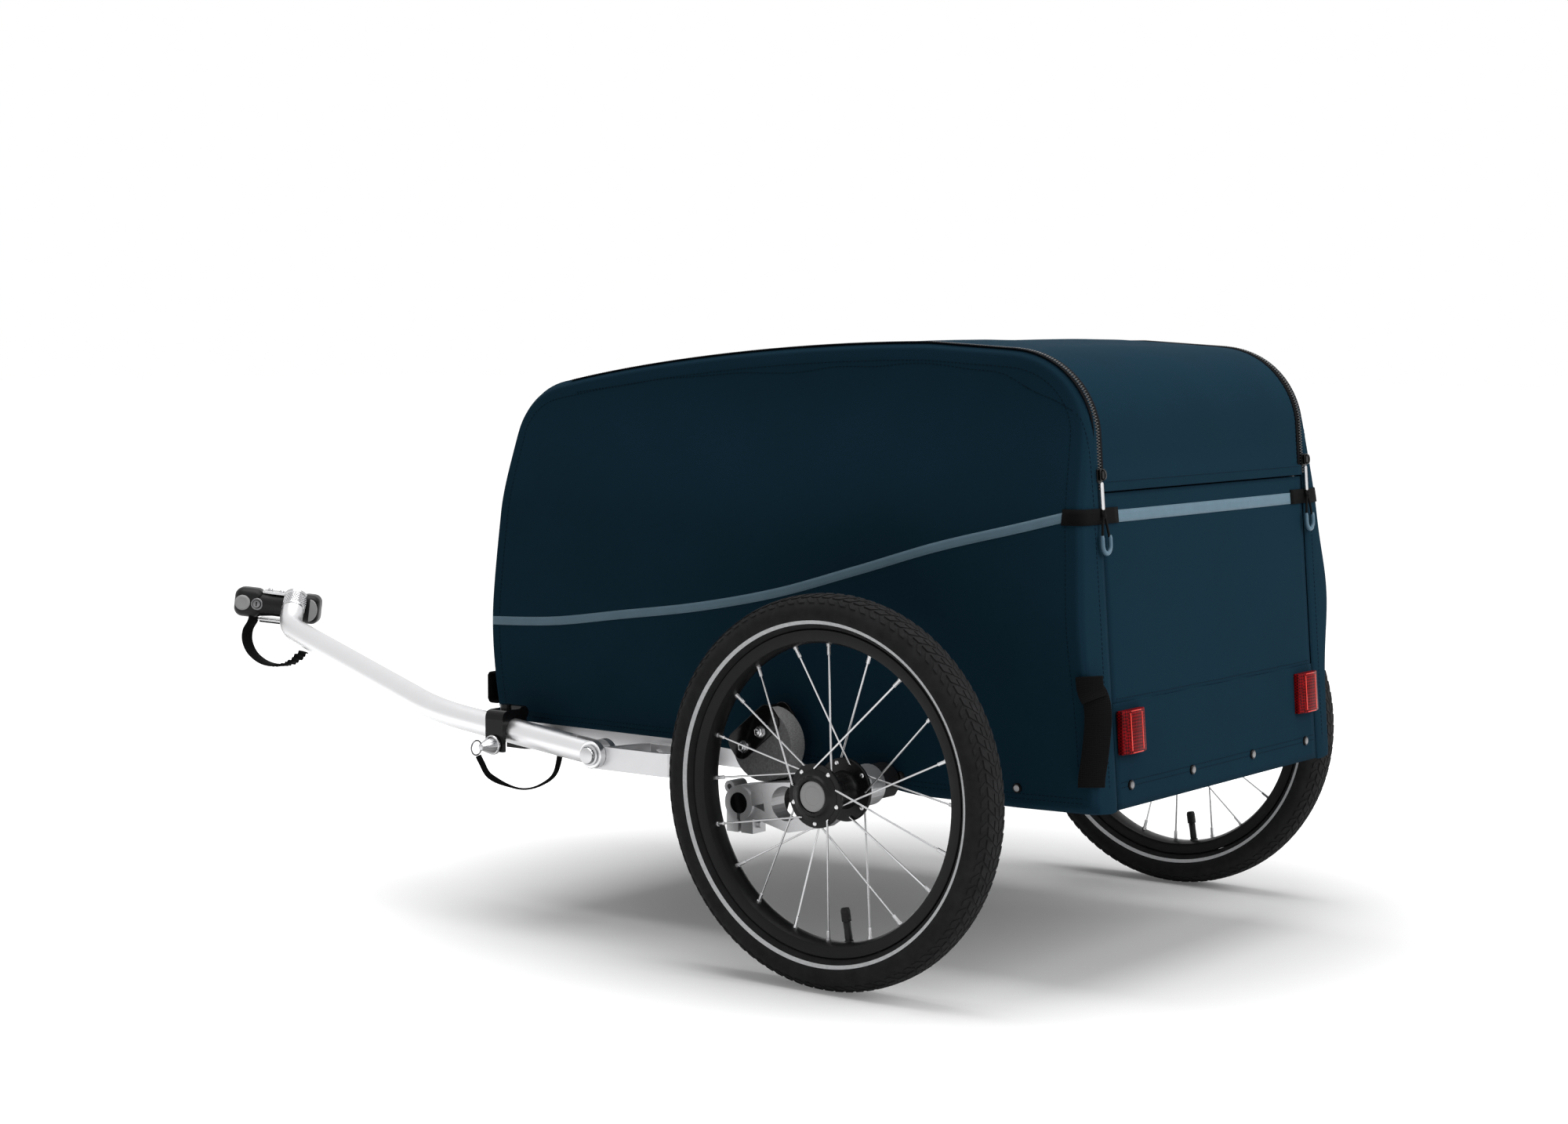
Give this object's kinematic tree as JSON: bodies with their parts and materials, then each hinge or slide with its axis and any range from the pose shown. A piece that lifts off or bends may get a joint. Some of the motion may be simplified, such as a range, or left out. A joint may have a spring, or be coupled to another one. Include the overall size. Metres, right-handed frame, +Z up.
{
  "type": "bicycle cargo trailer",
  "caption": "Low two-wheeled cargo trailer with a fabric-covered load box, zipped lid, sprung wheels and a bent side-mounted tow bar.",
  "frame": {"origin": "on the ground, below the middle of the trailer's bounding box", "axes": "+X forwards to the hitch, +Y to the left wheel, +Z up"},
  "size_m": [1.3236, 0.7606, 0.6431],
  "materials": {
    "tyre": "matt rubber with a light reflecting stripe",
    "black_paint": "satin black coating",
    "silver_tube": "satin anodised",
    "cast_arm": "sawn and brushed",
    "zinc_steel": "bright zinc",
    "black_plastic": "fine grain",
    "grey_button": "satin",
    "navy_fabric": "coated woven polyester",
    "black_webbing": "woven webbing",
    "elastomer": "matt foamed elastomer",
    "pull_cord": "grey-blue grip on black cord",
    "red_lens": "moulded prisms under a gloss face",
    "floor_sheet": "ribbed sheet"
  },
  "bodies": {
    "frame": {"cover_left": "navy_fabric", "hoop_left": "silver_tube", "puck_left": "elastomer", "puck_bracket_left": "black_paint", "zip_left": "black_plastic", "corner_band_left": "black_webbing", "reflector_left": "red_lens", "cover_right": "navy_fabric", "hoop_right": "silver_tube", "puck_right": "elastomer", "puck_bracket_right": "black_paint", "zip_right": "black_plastic", "corner_band_right": "black_webbing", "reflector_right": "red_lens", "base_frame": "silver_tube", "floor_board": "floor_sheet", "crossbar_front": "silver_tube", "crossbar_rear": "silver_tube", "cover_front": "navy_fabric", "cover_rear": "navy_fabric", "pivot_tube": "black_paint", "tow_bracket": "silver_tube", "tow_bolt": "zinc_steel", "tow_yoke": "black_paint", "lanyard": "black_webbing", "rear_strap": "black_webbing", "front_strap": "black_webbing"},
    "lid": {"lid": "navy_fabric"},
    "tow_bar": {"tow_tube": "silver_tube", "hitch_collar": "zinc_steel"},
    "hitch": {"hitch_head": "black_plastic", "safety_strap": "black_webbing"},
    "hitch_button_front": {"hitch_button_front": "grey_button"},
    "hitch_button_rear": {"hitch_button_rear": "grey_button"},
    "hitch_lock": {"hitch_lock": "black_paint"},
    "lock_pin": {"lock_pin": "zinc_steel"},
    "arm_left": {"swing_arm_left": "cast_arm", "axle_cap_left": "black_plastic"},
    "axle_left": {"axle_left": "zinc_steel"},
    "wheel_left": {"tyre_left": "tyre", "rim_left": "black_paint", "valve_left": "black_plastic", "hub_left": "black_paint"},
    "release_left": {"release_button_left": "grey_button"},
    "slider_left": {"zip_slider_left": "black_paint"},
    "puller_left": {"zip_puller_left": "pull_cord"},
    "arm_right": {"swing_arm_right": "cast_arm", "axle_cap_right": "black_plastic"},
    "axle_right": {"axle_right": "zinc_steel"},
    "wheel_right": {"tyre_right": "tyre", "rim_right": "black_paint", "valve_right": "black_plastic", "hub_right": "black_paint"},
    "release_right": {"release_button_right": "grey_button"},
    "slider_right": {"zip_slider_right": "black_paint"},
    "puller_right": {"zip_puller_right": "pull_cord"}
  },
  "joints": [
    {"name": "lid_hinge", "type": "hinge", "parent": "frame", "child": "lid", "pos_m": [0.04789, 0, 0.59716], "axis": [0, 1, 0], "range_deg": [0, 100]},
    {"name": "tow_bar_fold", "type": "hinge", "parent": "frame", "child": "tow_bar", "pos_m": [-0.06284, 0.3, 0.1995], "axis": [0, 1, 0], "range_deg": [0, 105], "deforming": ["lanyard"]},
    {"name": "lock_pin_pull", "type": "slide", "parent": "frame", "child": "lock_pin", "axis": [0, 1, 0], "range_m": [0, 0.03]},
    {"name": "hitch_swivel", "type": "hinge", "parent": "tow_bar", "child": "hitch", "pos_m": [0.57047, 0.15346, 0.30507], "axis": [0.4041, -0.6263, 0.6667], "range_deg": [-20, 20]},
    {"name": "hitch_press_front", "type": "slide", "parent": "hitch", "child": "hitch_button_front", "axis": [0.6018, -0.7986, 0], "range_m": [0, 0.0025], "stiffness_N_per_m": 900, "springref_m": -0.002},
    {"name": "hitch_press_rear", "type": "slide", "parent": "hitch", "child": "hitch_button_rear", "axis": [0.6018, -0.7986, 0], "range_m": [0, 0.0025], "stiffness_N_per_m": 900, "springref_m": -0.002},
    {"name": "hitch_key", "type": "hinge", "parent": "hitch", "child": "hitch_lock", "pos_m": [0.6178, 0.17107, 0.31136], "axis": [-0.6018, 0.7986, 0], "range_deg": [0, 90]},
    {"name": "arm_left_swing", "type": "hinge", "parent": "frame", "child": "arm_left", "pos_m": [-0.26084, 0.295, 0.167], "axis": [0, 1, 0], "range_deg": [-1.5, 4], "stiffness_Nm_per_rad": 450, "springref_deg": -1.15, "deforming": ["puck_left"]},
    {"name": "wheel_left_remove", "type": "slide", "parent": "arm_left", "child": "axle_left", "axis": [0, 1, 0], "range_m": [0, 0.062]},
    {"name": "wheel_left_spin", "type": "hinge", "parent": "axle_left", "child": "wheel_left", "pos_m": [-0.40884, 0.349, 0.198], "axis": [0, 1, 0], "continuous": true},
    {"name": "wheel_left_release", "type": "slide", "parent": "axle_left", "child": "release_left", "axis": [0, -1, 0], "range_m": [0, 0.003], "stiffness_N_per_m": 1500, "springref_m": -0.002},
    {"name": "zip_left_slide", "type": "slide", "parent": "frame", "child": "slider_left", "axis": [0.0749, 0, 0.9972], "range_m": [0, 0.038]},
    {"name": "zip_left_pull", "type": "hinge", "parent": "slider_left", "child": "puller_left", "pos_m": [-0.63657, 0.2163, 0.50659], "axis": [0, 1, 0], "range_deg": [0, 60]},
    {"name": "arm_right_swing", "type": "hinge", "parent": "frame", "child": "arm_right", "pos_m": [-0.26084, -0.295, 0.167], "axis": [0, 1, 0], "range_deg": [-1.5, 4], "stiffness_Nm_per_rad": 450, "springref_deg": -1.15, "deforming": ["puck_right"]},
    {"name": "wheel_right_remove", "type": "slide", "parent": "arm_right", "child": "axle_right", "axis": [0, -1, 0], "range_m": [0, 0.062]},
    {"name": "wheel_right_spin", "type": "hinge", "parent": "axle_right", "child": "wheel_right", "pos_m": [-0.40884, -0.349, 0.198], "axis": [0, 1, 0], "continuous": true},
    {"name": "wheel_right_release", "type": "slide", "parent": "axle_right", "child": "release_right", "axis": [0, 1, 0], "range_m": [0, 0.003], "stiffness_N_per_m": 1500, "springref_m": -0.002},
    {"name": "zip_right_slide", "type": "slide", "parent": "frame", "child": "slider_right", "axis": [0.0749, 0, 0.9972], "range_m": [0, 0.038]},
    {"name": "zip_right_pull", "type": "hinge", "parent": "slider_right", "child": "puller_right", "pos_m": [-0.63657, -0.2163, 0.50659], "axis": [0, 1, 0], "range_deg": [0, 60]}
  ]
}
